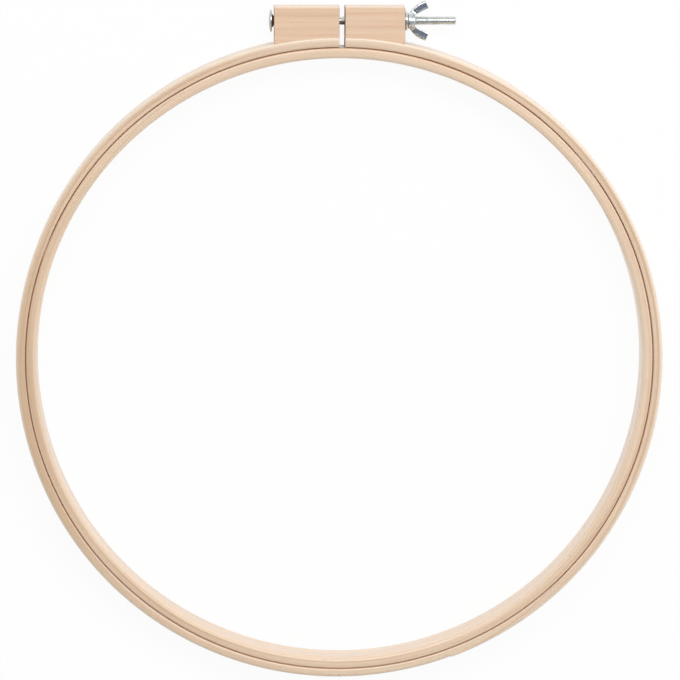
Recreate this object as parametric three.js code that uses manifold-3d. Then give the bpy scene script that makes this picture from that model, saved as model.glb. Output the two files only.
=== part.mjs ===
// Wooden embroidery hoop, 14 inch size: an inner ring in a split outer ring, which a bolt and wing nut close.
// Lengths are in millimetres. The hoop lies flat, its axis along +Z, its clamp at +Y and its bolt along X.
// The origin lies under the middle of the whole object, on the surface that the hoop rests on.

import * as THREE from 'three';
import { RoundedBoxGeometry } from 'three/addons/geometries/RoundedBoxGeometry.js';
import { mergeVertices, toCreasedNormals } from 'three/addons/utils/BufferGeometryUtils.js';
import Module from 'manifold-3d';

const wasm = await Module();
wasm.setup();

// Rings
const hoopDepth = 24;
const innerRingOuterRadius = 177.8;
const innerRingWall = 6;
const innerRingInsideEdgeRadius = 2.4;
const innerRingOutsideEdgeRadius = 1.2;
const ringClearance = 0.3;
const outerRingWall = 5.35;
const outerRingInsideEdgeRadius = 1.2;
const outerRingOutsideEdgeRadius = 2;

// Split in the outer ring, right of the hoop's axis
const splitWidth = 3.2;
const splitOffset = 1.1;

// Clamp blocks, glued on the outer ring at each side of the split
const leftBlockLength = 36.7;
const rightBlockLength = 33.75;
const blockRise = 17.1;
const blockInset = 1;
const blockEdgeRadius = 0.45;

// Clamp bolt: a domed head, a square neck that the left block grips, a plain shank and a right-hand thread
const boltRise = 8.8;
const boltLength = 102.8;
const threadRadius = 2.5;
const threadPitch = 0.8;
const threadLength = 40;
const threadChamfer = 0.5;
const shankRadius = 2.25;
const headRadius = 6.25;
const headDomeHeight = 0.8;
const headRimHeight = 0.9;
const headCollarHeight = 0.9;
const headCollarLedge = 0.1;
const neckSide = 4.9;
const neckLength = 2.6;

// Washer and wing nut
const washerRadius = 5.45;
const washerThickness = 1.2;
const nutBaseRadius = 4.7;
const nutTopRadius = 4.1;
const nutHeight = 4.1;
const nutEdgeRadius = 0.6;
const wingHalfSpan = 11.3;
const wingHeight = 11.7;
const wingThickness = 2.4;
const wingTipWidth = 4.1;
const wingTipLean = 1.9;
const wingOuterBow = 2.4;
const wingInnerBow = 0.4;
const wingEdgeRadius = 0.4;

// How far the hoop opens: turns of the nut from clamped to fully loose
const openingTurns = 10;

// Clearances
const contactGap = 0.3;
const boreClearance = 0.3;
const swingClearance = 0.23;

// Smoothness of round surfaces
const ringSides = 96;
const ringEdgeDivisions = 2;
const boltSides = 32;
const edgeSteps = 3;
const creaseAngle = THREE.MathUtils.degToRad(35);

// Places worked out from the sizes, measured from the hoop's axis
const outerRingInnerRadius = innerRingOuterRadius + ringClearance;
const outerRingRadius = outerRingInnerRadius + outerRingWall;
const splitLeft = splitOffset - splitWidth / 2;
const splitRight = splitOffset + splitWidth / 2;
const leftBlockFace = splitLeft - leftBlockLength;
const rightBlockFace = splitRight + rightBlockLength;
const blockBack = outerRingRadius + blockRise;
const blockDepth = hoopDepth - 2 * blockInset;
const boltY = outerRingRadius + boltRise;
const middleZ = hoopDepth / 2;

// The outer ring bends open about the middle of its wall at the bottom
const pivotRadius = outerRingRadius - outerRingWall / 2;
const clampLever = boltY + pivotRadius;
const openingTravel = openingTurns * threadPitch;
const openingAngle = Math.asin(openingTravel / clampLever);
const swingDrop = rightBlockFace * Math.sin(openingAngle) + clampLever * (1 - Math.cos(openingAngle));
const rightBoreRadius = threadRadius + swingDrop + swingClearance;

// Places along the bolt, measured from the underside of its head
const headSeat = leftBlockFace - contactGap;
const washerSeat = rightBlockFace + contactGap - headSeat;
const nutSeat = washerSeat + washerThickness + contactGap;

// The whole object reaches from the ring's bottom to the upper wing's tip
const ringAxisY = -(boltY + wingHalfSpan - outerRingRadius) / 2;

const beech = { color: 0xe4c5a5, roughness: 0.6, metalness: 0 };
const blockBeech = { color: 0xe3c1a0, roughness: 0.62, metalness: 0 };
const zinc = { color: 0xc6ccd2, roughness: 0.34, metalness: 0.9 };

// Turns a closed geometry into a solid that can be cut and joined
function toSolid(geometry) {
  const bare = geometry.clone();
  bare.deleteAttribute('normal');
  bare.deleteAttribute('uv');
  const merged = mergeVertices(bare);
  const vertProperties = new Float32Array(merged.attributes.position.array);
  const triVerts = new Uint32Array(merged.index.array);
  return new wasm.Manifold(new wasm.Mesh({ numProp: 3, vertProperties, triVerts }));
}

// Turns a solid back into a geometry, smooth over its round surfaces and sharp at its corners
function toGeometry(solid) {
  const { vertProperties, triVerts } = solid.getMesh();
  const geometry = new THREE.BufferGeometry();
  geometry.setAttribute('position', new THREE.BufferAttribute(vertProperties, 3));
  geometry.setIndex(new THREE.BufferAttribute(triVerts, 1));
  return toCreasedNormals(geometry, creaseAngle);
}

// A box between two corners
function boxBetween(low, high) {
  const box = new THREE.Box3(new THREE.Vector3(...low), new THREE.Vector3(...high));
  const size = box.getSize(new THREE.Vector3());
  const centre = box.getCenter(new THREE.Vector3());
  return toSolid(new THREE.BoxGeometry(size.x, size.y, size.z).translate(centre.x, centre.y, centre.z));
}

// A solid turned about Z from a profile of radius and height, which closes on itself or on the axis
function turned(profile, sides) {
  return toSolid(new THREE.LatheGeometry(profile, sides).rotateX(Math.PI / 2));
}

// A round rod along X, for a bore
function rodAlongX(radius, from, to, y) {
  const rod = new THREE.CylinderGeometry(radius, radius, to - from, boltSides).rotateZ(Math.PI / 2);
  return toSolid(rod.translate((from + to) / 2, y, middleZ));
}

function meshOf(name, solid, finish) {
  const mesh = new THREE.Mesh(toGeometry(solid), new THREE.MeshStandardMaterial(finish));
  mesh.name = name;
  return mesh;
}

// A bent strip with rounded edges, closed into a full ring
function ringSolid(innerRadius, wall, insideEdge, outsideEdge) {
  const low = innerRadius + insideEdge;
  const high = innerRadius + wall - outsideEdge;
  const section = new THREE.Path();
  section.absarc(high, outsideEdge, outsideEdge, -Math.PI / 2, 0);
  section.absarc(high, hoopDepth - outsideEdge, outsideEdge, 0, Math.PI / 2);
  section.absarc(low, hoopDepth - insideEdge, insideEdge, Math.PI / 2, Math.PI);
  section.absarc(low, insideEdge, insideEdge, Math.PI, 1.5 * Math.PI);
  section.closePath();
  return turned(section.getPoints(ringEdgeDivisions), ringSides);
}

// The closed ring that the cloth is stretched over
function innerRing() {
  const innerRadius = innerRingOuterRadius - innerRingWall;
  return ringSolid(innerRadius, innerRingWall, innerRingInsideEdgeRadius, innerRingOutsideEdgeRadius);
}

// One half of the outer ring, from the split to the middle of the bottom
// side is -1 for the left half and 1 for the right half
function outerRingHalf(side) {
  const reach = 2 * outerRingRadius;
  const pastMiddle = outerRingWall;
  const otherHalf = (face, fromY, toY) => boxBetween(
    [Math.min(face, -side * reach), fromY, -reach],
    [Math.max(face, -side * reach), toY, reach],
  );
  return ringSolid(outerRingInnerRadius, outerRingWall, outerRingInsideEdgeRadius, outerRingOutsideEdgeRadius)
    .subtract(otherHalf(splitOffset + side * splitWidth / 2, -pastMiddle, reach))
    .subtract(otherHalf(side * contactGap / 2, -reach, pastMiddle));
}

// A block with rounded edges whose underside is saddled on the outer ring
function clampBlock(from, to) {
  const farSide = Math.max(Math.abs(from), Math.abs(to));
  const foot = Math.sqrt(outerRingRadius ** 2 - farSide ** 2) - 2 * blockEdgeRadius;
  const box = new RoundedBoxGeometry(to - from, blockBack - foot, blockDepth, edgeSteps, blockEdgeRadius);
  const saddle = new THREE.CylinderGeometry(
    outerRingRadius + contactGap, outerRingRadius + contactGap, 2 * hoopDepth, ringSides,
  );
  const block = toSolid(box.translate((from + to) / 2, (blockBack + foot) / 2, middleZ));
  return block.subtract(toSolid(saddle.rotateX(Math.PI / 2)));
}

function leftClampBlock() {
  const pocket = neckSide / 2 + boreClearance;
  const pocketEnd = headSeat + neckLength + boreClearance;
  return clampBlock(leftBlockFace, splitLeft)
    .subtract(rodAlongX(shankRadius + boreClearance, headSeat, splitRight, boltY))
    .subtract(boxBetween(
      [headSeat, boltY - pocket, middleZ - pocket],
      [pocketEnd, boltY + pocket, middleZ + pocket],
    ));
}

// The right block's bore is wide enough for the block to swing out along the straight bolt
function rightClampBlock() {
  return clampBlock(splitRight, rightBlockFace)
    .subtract(rodAlongX(rightBoreRadius, splitLeft, rightBlockFace + contactGap, boltY));
}

// The bolt along +Z, with its head's seat at height 0
// A collar under the head narrows at 45 degrees to just outside the neck's corners
function clampBolt() {
  const rimBottom = -headCollarHeight;
  const rimTop = rimBottom - headRimHeight;
  const collarFoot = neckSide / Math.SQRT2 + headCollarLedge;
  const domeRadius = (headRadius ** 2 + headDomeHeight ** 2) / (2 * headDomeHeight);
  const domeHalfAngle = Math.asin(headRadius / domeRadius);
  const dome = new THREE.Path();
  const domeCentre = rimTop - headDomeHeight + domeRadius;
  dome.absarc(0, domeCentre, domeRadius, -Math.PI / 2, -Math.PI / 2 + domeHalfAngle);
  const threadStart = boltLength - threadLength;
  const profile = [
    new THREE.Vector2(0, rimTop - headDomeHeight),
    ...dome.getPoints(edgeSteps).slice(1),
    new THREE.Vector2(headRadius, rimBottom),
    new THREE.Vector2(collarFoot + headCollarHeight, rimBottom),
    new THREE.Vector2(collarFoot, 0),
    new THREE.Vector2(shankRadius, 0),
    new THREE.Vector2(shankRadius, threadStart),
    new THREE.Vector2(threadRadius, threadStart + threadPitch),
    new THREE.Vector2(threadRadius, boltLength - threadChamfer),
    new THREE.Vector2(threadRadius - threadChamfer, boltLength),
    new THREE.Vector2(0, boltLength),
  ];
  const half = neckSide / 2;
  const neck = boxBetween([-half, -half, rimBottom], [half, half, neckLength]);
  return turned(profile, boltSides).add(neck);
}

// The washer along +Z, with its lower face at height 0
function washerSolid() {
  const hole = threadRadius + boreClearance;
  const profile = [
    new THREE.Vector2(hole, 0),
    new THREE.Vector2(washerRadius, 0),
    new THREE.Vector2(washerRadius, washerThickness),
    new THREE.Vector2(hole, washerThickness),
    new THREE.Vector2(hole, 0),
  ];
  return turned(profile, boltSides);
}

// One wing in the plane of X and Z, swept outwards from the hub to a blunt tip
function wingSolid() {
  const outerTip = new THREE.Vector2(wingHalfSpan, wingHeight - wingTipLean);
  const innerTip = new THREE.Vector2(wingHalfSpan - wingTipWidth, wingHeight);
  const outerRoot = new THREE.Vector2(nutBaseRadius - nutEdgeRadius, nutEdgeRadius);
  const innerRoot = new THREE.Vector2(nutTopRadius - nutEdgeRadius, nutHeight - nutEdgeRadius);
  const bowed = (from, to, bow) => {
    const middle = from.clone().add(to).multiplyScalar(0.5);
    const across = to.clone().sub(from).normalize().rotateAround(new THREE.Vector2(), -Math.PI / 2);
    return middle.addScaledVector(across, bow);
  };
  const outerControl = bowed(outerRoot, outerTip, wingOuterBow);
  const innerControl = bowed(innerTip, innerRoot, -wingInnerBow);
  const outline = new THREE.Shape();
  outline.moveTo(outerRoot.x, outerRoot.y);
  outline.quadraticCurveTo(outerControl.x, outerControl.y, outerTip.x, outerTip.y);
  outline.lineTo(innerTip.x, innerTip.y);
  outline.quadraticCurveTo(innerControl.x, innerControl.y, innerRoot.x, innerRoot.y);
  outline.lineTo(threadRadius + boreClearance, nutHeight / 2);
  outline.closePath();
  const wing = new THREE.ExtrudeGeometry(outline, {
    depth: wingThickness - 2 * wingEdgeRadius,
    bevelThickness: wingEdgeRadius,
    bevelSize: wingEdgeRadius,
    bevelOffset: -wingEdgeRadius,
    bevelSegments: 2,
    curveSegments: 8,
  });
  return toSolid(wing.translate(0, 0, wingEdgeRadius - wingThickness / 2).rotateX(Math.PI / 2));
}

// The wing nut along +Z, with its base at height 0 and its wings along Y
function wingNut() {
  const hub = [
    new THREE.Vector2(0, 0),
    new THREE.Vector2(nutBaseRadius - nutEdgeRadius, 0),
    new THREE.Vector2(nutBaseRadius, nutEdgeRadius),
    new THREE.Vector2(nutTopRadius, nutHeight - nutEdgeRadius),
    new THREE.Vector2(nutTopRadius - nutEdgeRadius, nutHeight),
    new THREE.Vector2(0, nutHeight),
  ];
  const bore = new THREE.CylinderGeometry(
    threadRadius + boreClearance, threadRadius + boreClearance, 2 * wingHeight, boltSides,
  );
  const wing = wingSolid();
  return turned(hub, boltSides)
    .add(wing.rotate([0, 0, 90]))
    .add(wing.rotate([0, 0, -90]))
    .subtract(toSolid(bore.rotateX(Math.PI / 2)));
}

const rings = new THREE.Group();
rings.position.y = ringAxisY;
rings.add(meshOf('inner_ring', innerRing(), beech));
rings.add(meshOf('outer_ring_left_half', outerRingHalf(-1), beech));
rings.add(meshOf('outer_ring_right_half', outerRingHalf(1), beech));
rings.add(meshOf('left_clamp_block', leftClampBlock(), blockBeech));
rings.add(meshOf('right_clamp_block', rightClampBlock(), blockBeech));

// The bolt, the washer and the nut share one axis along +X
const clampScrew = new THREE.Group();
clampScrew.position.set(headSeat, boltY, middleZ);
clampScrew.rotation.y = Math.PI / 2;
clampScrew.add(meshOf('clamp_bolt', clampBolt(), zinc));

const washer = meshOf('washer', washerSolid(), zinc);
washer.position.z = washerSeat;
clampScrew.add(washer);

const nut = meshOf('wing_nut', wingNut(), zinc);
nut.position.z = nutSeat;
clampScrew.add(nut);
rings.add(clampScrew);

const hoop = new THREE.Group();
hoop.add(rings);

export default hoop;
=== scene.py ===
"""Dresses a wooden embroidery hoop: two bent beech rings, two clamp blocks, and the screw that closes them.

Lengths are in metres and angles in radians. The hoop lies flat on the floor, with its axis along +Z, its
clamp toward +Y and its bolt along +X.
"""

import logging
import math
from dataclasses import dataclass, field, replace
from enum import Enum

import bmesh
import bpy
import numpy as np
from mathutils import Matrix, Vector


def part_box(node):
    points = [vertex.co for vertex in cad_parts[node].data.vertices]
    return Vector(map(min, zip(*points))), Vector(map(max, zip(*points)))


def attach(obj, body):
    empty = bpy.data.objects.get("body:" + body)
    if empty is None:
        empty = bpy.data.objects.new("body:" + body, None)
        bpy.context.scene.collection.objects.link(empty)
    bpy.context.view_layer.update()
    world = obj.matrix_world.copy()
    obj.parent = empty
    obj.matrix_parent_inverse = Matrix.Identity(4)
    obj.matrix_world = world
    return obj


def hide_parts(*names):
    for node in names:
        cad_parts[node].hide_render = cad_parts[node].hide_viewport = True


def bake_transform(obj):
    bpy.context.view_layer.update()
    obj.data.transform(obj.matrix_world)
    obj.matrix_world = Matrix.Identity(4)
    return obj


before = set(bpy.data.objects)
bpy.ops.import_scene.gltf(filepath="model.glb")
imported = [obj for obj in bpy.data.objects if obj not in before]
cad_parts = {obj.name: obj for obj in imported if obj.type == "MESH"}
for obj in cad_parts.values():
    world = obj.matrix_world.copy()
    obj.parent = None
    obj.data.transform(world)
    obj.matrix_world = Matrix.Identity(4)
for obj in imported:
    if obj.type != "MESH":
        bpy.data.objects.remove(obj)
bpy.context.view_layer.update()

MM = 0.001
TURN = 2 * math.pi
QUARTER = math.pi / 2
BOTTOM = 3 * QUARTER
SAME_PLACE = 1e-7
SLIVER = 3e-6
SHARP_ANGLE = math.radians(40)
NOISE_RANGE = (0.3, 0.7)
WHITE = (1.0, 1.0, 1.0, 1.0)
LOG = logging.getLogger("hoop")

Colour = tuple[float, float, float]
Waves = tuple[float, float, float]
Span = tuple[float, float]
Box = tuple[Vector, Vector]
Socket = bpy.types.NodeSocket


class Side(Enum):
    """The two sides of the split, as their direction along X."""

    LEFT = -1
    RIGHT = 1


def linear(red: int, green: int, blue: int) -> Colour:
    """Turns a colour as it looks on a screen into the shader's linear colour.

    Args:
        red: 0 to 255.
        green: 0 to 255.
        blue: 0 to 255.

    Returns:
        The same colour, each part from 0 to 1.
    """
    parts = (red / 255, green / 255, blue / 255)
    return tuple(part / 12.92 if part <= 0.04045 else ((part + 0.055) / 1.055) ** 2.4 for part in parts)


def solid_colour(colour: Colour) -> tuple[float, float, float, float]:
    """Adds full alpha to a colour."""
    return (*colour, 1.0)


def smooth_step(value: np.ndarray) -> np.ndarray:
    """Eases 0 to 1 with level ends."""
    clipped = np.clip(value, 0, 1)
    return clipped * clipped * (3 - 2 * clipped)


@dataclass(frozen=True)
class Layout:
    """Places that the pieces share, read from the frame."""

    ring_axis: Vector
    depth: float
    inner_ring_radius: float
    outer_ring_radius: float
    bolt_axis: Vector
    bolt_start: float
    bolt_end: float
    blocks: dict[Side, Box]
    washer: Box
    nut: Box

    @classmethod
    def from_frame(cls) -> "Layout":
        """Reads the places.

        Returns:
            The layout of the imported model.
        """
        ring_low, ring_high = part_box("inner_ring")
        bolt_low, bolt_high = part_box("clamp_bolt")
        ring_middle, bolt_middle = (ring_low + ring_high) / 2, (bolt_low + bolt_high) / 2
        return cls(
            ring_axis=Vector((ring_middle.x, ring_middle.y, ring_low.z)),
            depth=ring_high.z - ring_low.z,
            inner_ring_radius=(ring_high.x - ring_low.x) / 2,
            outer_ring_radius=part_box("outer_ring_right_half")[1].x,
            bolt_axis=Vector((0, bolt_middle.y, bolt_middle.z)),
            bolt_start=bolt_low.x,
            bolt_end=bolt_high.x,
            blocks={Side.LEFT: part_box("left_clamp_block"), Side.RIGHT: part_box("right_clamp_block")},
            washer=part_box("washer"),
            nut=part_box("wing_nut"),
        )


class NodeSheet:
    """A node tree, with one short call for each kind of node."""

    def __init__(self, tree: bpy.types.NodeTree) -> None:
        """Takes the tree that the nodes go into."""
        self.tree = tree

    def node(self, kind: str, inputs: dict, **settings: object) -> bpy.types.Node:
        """Adds a node.

        Args:
            kind: the node's type, without the word ShaderNode.
            inputs: a value or another node's socket for each input, by name or number.
            settings: the node's own options.

        Returns:
            The node.
        """
        made = self.tree.nodes.new("ShaderNode" + kind)
        for option, value in settings.items():
            setattr(made, option, value)
        for key, value in inputs.items():
            if isinstance(value, Socket):
                self.tree.links.new(value, made.inputs[key])
            else:
                made.inputs[key].default_value = value
        return made

    def math(self, operation: str, *values: object, clamp: bool = False) -> Socket:
        """Does one sum on sockets or numbers and returns its socket."""
        return self.node("Math", dict(enumerate(values)), operation=operation, use_clamp=clamp).outputs[0]

    def scaled(self, vector: Socket, scale: tuple) -> Socket:
        """Multiplies a vector by three numbers and returns its socket."""
        return self.node("VectorMath", {0: vector, 1: scale}, operation="MULTIPLY").outputs[0]

    def parts(self, vector: Socket) -> list[Socket]:
        """Takes a vector apart into its three numbers' sockets."""
        return list(self.node("SeparateXYZ", {0: vector}).outputs)

    def joined(self, *parts: Socket) -> Socket:
        """Makes a vector of three numbers."""
        return self.node("CombineXYZ", dict(enumerate(parts))).outputs[0]

    def moved(self, vector: Socket, offset: Socket | tuple) -> Socket:
        """Adds an offset to a vector."""
        return self.node("VectorMath", {0: vector, 1: offset}, operation="ADD").outputs[0]

    def stored(self, name: str, part: str) -> Socket:
        """Reads what the mesh stores under a name."""
        return self.node("Attribute", {}, attribute_name=name).outputs[part]

    def apart(self, value: Socket, place: float) -> Socket:
        """Measures how far a value lies from a place."""
        return self.math("ABSOLUTE", self.math("SUBTRACT", value, place))

    def noise(
        self, vector: Socket, waves: Waves, detail: float = 2.0, roughness: float = 0.5, part: str = "Fac"
    ) -> Socket:
        """Adds noise.

        Args:
            vector: where the noise is read.
            waves: waves in a metre, along each axis.
            detail: how many finer layers lie on it.
            roughness: how strong the finer layers are.
            part: Fac for one value, Color for three.

        Returns:
            The noise's socket.
        """
        placed = self.scaled(vector, waves)
        inputs = {"Vector": placed, "Scale": 1.0, "Detail": detail, "Roughness": roughness}
        return self.node("TexNoise", inputs).outputs[part]

    def span(
        self, value: Socket, low: float, high: float, to_low: float = 0.0, to_high: float = 1.0
    ) -> Socket:
        """Maps one range of a value smoothly onto another and holds it at the ends.

        Args:
            value: the value.
            low: where the range starts.
            high: where it ends.
            to_low: what the start becomes.
            to_high: what the end becomes.

        Returns:
            The mapped value's socket.
        """
        inputs = {"Value": value, "From Min": low, "From Max": high, "To Min": to_low, "To Max": to_high}
        return self.node("MapRange", inputs, interpolation_type="SMOOTHSTEP").outputs["Result"]

    def blend(self, factor: Socket, first: Socket | Colour, second: Socket | Colour) -> Socket:
        """Mixes two colours.

        Args:
            factor: how much of the second colour shows.
            first: a colour or a socket.
            second: a colour or a socket.

        Returns:
            The mixed colour's socket.
        """
        first = solid_colour(first) if isinstance(first, tuple) else first
        second = solid_colour(second) if isinstance(second, tuple) else second
        return self.node("Mix", {0: factor, 6: first, 7: second}, data_type="RGBA").outputs[2]

    def ramp(self, value: Socket, stops: tuple[Span, ...]) -> Socket:
        """Bends a value along a line through some points.

        Args:
            value: the value, from 0 to 1.
            stops: the points, each a place and a level from 0 to 1.

        Returns:
            The level's socket.
        """
        made = self.node("ValToRGB", {"Fac": value})
        elements = made.color_ramp.elements
        for place, level in stops[1:-1]:
            elements.new(place)
        for element, (place, level) in zip(elements, stops):
            element.position = place
            element.color = (level, level, level, 1)
        return made.outputs["Color"]


class ShaderSheet(NodeSheet):
    """A new material's node tree."""

    def __init__(self, name: str) -> None:
        """Starts a material with one Principled shader.

        Args:
            name: the material's name.
        """
        self.material = bpy.data.materials.new(name)
        self.material.use_nodes = True
        super().__init__(self.material.node_tree)
        self.shader = self.tree.nodes["Principled BSDF"]

    def bump(self, *layers: tuple[Socket, float]) -> None:
        """Gives the surface a relief.

        Args:
            layers: a height from 0 to 1 and its real depth, for each layer.
        """
        normal = None
        for height, depth in layers:
            inputs = {"Height": height, "Distance": depth, "Strength": 1.0}
            if normal is not None:
                inputs["Normal"] = normal
            normal = self.node("Bump", inputs).outputs["Normal"]
        self.link(normal, "Normal")

    def link(self, value: Socket, name: str) -> None:
        """Connects a socket to the shader."""
        self.tree.links.new(value, self.shader.inputs[name])

    def set(self, name: str, value: object) -> None:
        """Sets an even value on the shader."""
        self.shader.inputs[name].default_value = value


@dataclass(frozen=True)
class GluedJoint:
    """The long slanted joint where a bent strip overlaps its own start."""

    length: float
    circumference: float
    wall: float
    line_width: float = 0.1 * MM
    line_strength: float = 0.75
    line_colour: Colour = linear(167, 127, 95)


@dataclass(frozen=True)
class Blemish:
    """A small darker pin knot on the upper rim."""

    along: float
    across: float
    height: float
    radius: float = 0.9 * MM
    core_share: float = 0.3
    halo_share: float = 1.2
    strength: float = 0.8
    colour: Colour = linear(186, 148, 121)

    def mask(self, sheet: NodeSheet, grain: Socket) -> Socket:
        """Says how much of the mark shows.

        Args:
            sheet: the material's nodes.
            grain: the stored grain.

        Returns:
            The share, which is strongest at the knot's middle.
        """
        centre = (self.along, self.across, self.height)
        away = sheet.node("VectorMath", {0: grain, 1: centre}, operation="DISTANCE").outputs["Value"]
        core, halo = self.core_share * self.radius, self.halo_share * self.radius
        return sheet.span(away, core, halo, self.strength, 0.0)


@dataclass(frozen=True)
class ToneAndHighlightStretch:
    """A stretch of a strip with its own colour: a browner stretch of the wood's tone, or a paler stretch
    that is a painted highlight.
    """

    along: float
    reach: float
    strength: float
    colour: Colour
    core_share: float = 0.2

    def mask(self, sheet: NodeSheet, grain: Socket) -> Socket:
        """Says how much of the tone shows.

        Args:
            sheet: the material's nodes.
            grain: the stored grain.

        Returns:
            The share, which is strongest in the stretch's middle.
        """
        away = sheet.apart(sheet.parts(grain)[0], self.along)
        return sheet.span(away, self.core_share * self.reach, self.reach, self.strength, 0.0)


@dataclass(frozen=True)
class PaintedEdgeLight:
    """Painted light on a strip's edges above and below one of its sides: painted shade along the groove
    between the rings, and a painted highlight on rounded edges that face the light.
    """

    across: float
    depth: float
    reach: float
    strength: float
    colour: Colour

    def mask(self, sheet: NodeSheet, grain: Socket) -> Socket:
        """Says how much of the tone shows.

        Args:
            sheet: the material's nodes.
            grain: the stored grain.

        Returns:
            The share, which is strongest on the side itself and at both of its edges.
        """
        _, across, up = sheet.parts(grain)
        near = sheet.span(sheet.apart(across, self.across), 0.0, self.reach, self.strength, 0.0)
        middle = self.depth / 2
        edge = sheet.span(sheet.apart(up, middle), middle - 2 * self.reach, middle - self.reach)
        return sheet.math("MULTIPLY", near, edge)


@dataclass(frozen=True)
class Beech:
    """Sanded pale beech with a satin face: growth lines, fibres, and the short brown flecks of its rays.

    Long streaks of tan and of cream run through it, and its sawn ends are darker and dull.
    """

    name: str
    pith_across: float
    pith_up: float
    early: Colour = linear(237, 205, 174)
    late: Colour = linear(221, 179, 146)
    ray: Colour = linear(186, 144, 113)
    tan: Colour = linear(203, 169, 131)
    cream: Colour = linear(224, 207, 185)
    end_grain: Colour = linear(163, 121, 95)
    growth_spacing: float = 2.4 * MM
    growth_strength: float = 0.4
    growth_line: tuple[Span, ...] = ((0, 0.05), (0.55, 0.3), (0.86, 1.0), (0.97, 0.1))
    growth_waves: Waves = (7, 260, 260)
    cloud_waves: Waves = (9, 150, 150)
    cloud_shade: Span = (-0.12, 0.3)
    cloud_relief: float = 0.2 * MM
    fibre_waves: Waves = (95, 3600, 3600)
    fibre_shade: Span = (-0.12, 0.12)
    fibre_relief: float = 0.014 * MM
    ray_waves: Waves = (560, 70, 4200)
    ray_share: Span = (0.62, 0.72)
    ray_strength: float = 0.24
    ray_relief: float = 0.012 * MM
    streaks: float = 0.15
    broad_streak_waves: Waves = (2.6, 75, 75)
    narrow_streak_waves: Waves = (4, 420, 420)
    narrow_streak_share: float = 0.45
    tan_share: Span = (0.5, 0.64)
    cream_share: Span = (0.36, 0.5)
    wander: float = 5 * MM
    wander_waves: Waves = (4.5, 4, 4)
    roughness: Span = (0.29, 0.41)
    end_roughness: float = 0.9
    polish: float = 0.65
    polish_roughness: float = 0.3
    joint: GluedJoint | None = None
    blemish: Blemish | None = None
    # Browner stretches of the wood's own tone, and stretches of painted highlight.
    toned_stretches: tuple[ToneAndHighlightStretch, ...] = ()
    # Painted highlights on edges, and painted shade on edges beside the groove between the rings.
    toned_edges: tuple[PaintedEdgeLight, ...] = ()

    def material(self) -> bpy.types.Material:
        """Builds the material, which reads the grain stored on the mesh: along, across and up.

        Returns:
            The material.
        """
        sheet = ShaderSheet(self.name)
        grain, joint_line = sheet.stored("grain", "Vector"), None
        if self.joint:
            grain, joint_line = self._overlapped(sheet, grain)
        wood = self._round_pith(sheet, grain)
        clouds = sheet.noise(wood, self.cloud_waves, detail=3)
        growth = self._growth(sheet, wood)
        fibres = sheet.noise(wood, self.fibre_waves, detail=3, roughness=0.6)
        rays = sheet.span(sheet.noise(wood, self.ray_waves, detail=1), *self.ray_share)
        cloud_tone = sheet.span(clouds, *NOISE_RANGE, *self.cloud_shade)
        tone = sheet.math("MULTIPLY_ADD", growth, self.growth_strength, cloud_tone)
        tone = sheet.math("ADD", tone, sheet.span(fibres, *NOISE_RANGE, *self.fibre_shade), clamp=True)
        colour = self._streaked(sheet, wood, sheet.blend(tone, self.early, self.late))
        colour = sheet.blend(sheet.math("MULTIPLY", rays, self.ray_strength), colour, self.ray)
        if joint_line is not None:
            colour = sheet.blend(joint_line, colour, self.joint.line_colour)
        colour = self._marked(sheet, grain, colour)
        sawn = sheet.stored("sawn", "Fac")
        sheet.link(sheet.blend(sawn, colour, self.end_grain), "Base Color")
        smooth = sheet.span(fibres, *NOISE_RANGE, *self.roughness)
        dull = sheet.math("MULTIPLY", sawn, self.end_roughness)
        sheet.link(sheet.math("MAXIMUM", smooth, dull), "Roughness")
        sheet.link(sheet.span(sawn, 0, 1, self.polish, 0), "Coat Weight")
        sheet.set("Coat Roughness", self.polish_roughness)
        between_rays = sheet.math("SUBTRACT", 1.0, rays)
        sheet.bump(
            (fibres, self.fibre_relief), (between_rays, self.ray_relief), (clouds, self.cloud_relief)
        )
        return sheet.material

    def _overlapped(self, sheet: NodeSheet, grain: Socket) -> tuple[Socket, Socket]:
        """Carries the strip's far end on under its start, along the glued joint.

        Args:
            sheet: the material's nodes.
            grain: the stored grain.

        Returns:
            The grain with the far end's own length along, and a mask of the glue line.
        """
        along, across, up = sheet.parts(grain)
        slope = sheet.math("SUBTRACT", 1.0, sheet.math("DIVIDE", along, self.joint.length))
        depth = sheet.math("SUBTRACT", slope, sheet.math("DIVIDE", across, self.joint.wall))
        far_end = sheet.math("GREATER_THAN", depth, 0.0)
        along = sheet.math("MULTIPLY_ADD", far_end, self.joint.circumference, along)
        half_line = self.joint.line_width / self.joint.wall / 2
        off_line = sheet.math("ABSOLUTE", depth)
        line = sheet.span(off_line, half_line, 2 * half_line, self.joint.line_strength, 0.0)
        return sheet.joined(along, across, up), line

    def _round_pith(self, sheet: NodeSheet, grain: Socket) -> Socket:
        """Turns the grain into places in the tree.

        Args:
            sheet: the material's nodes.
            grain: the stored grain.

        Returns:
            Each place's distance along the trunk, out from its pith and round it.
        """
        drift = sheet.noise(grain, self.wander_waves, detail=2, part="Color")
        drift = sheet.scaled(drift, (0, self.wander, self.wander))
        placed = sheet.moved(sheet.moved(grain, drift), (0, -self.pith_across, -self.pith_up))
        along, across, up = sheet.parts(placed)
        squares = sheet.math("ADD", sheet.math("POWER", across, 2.0), sheet.math("POWER", up, 2.0))
        out = sheet.math("SQRT", squares)
        reach = math.hypot(self.pith_across, self.pith_up)
        turn = sheet.math("MULTIPLY", sheet.math("ARCTAN2", up, across), reach)
        return sheet.joined(along, out, turn)

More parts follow.
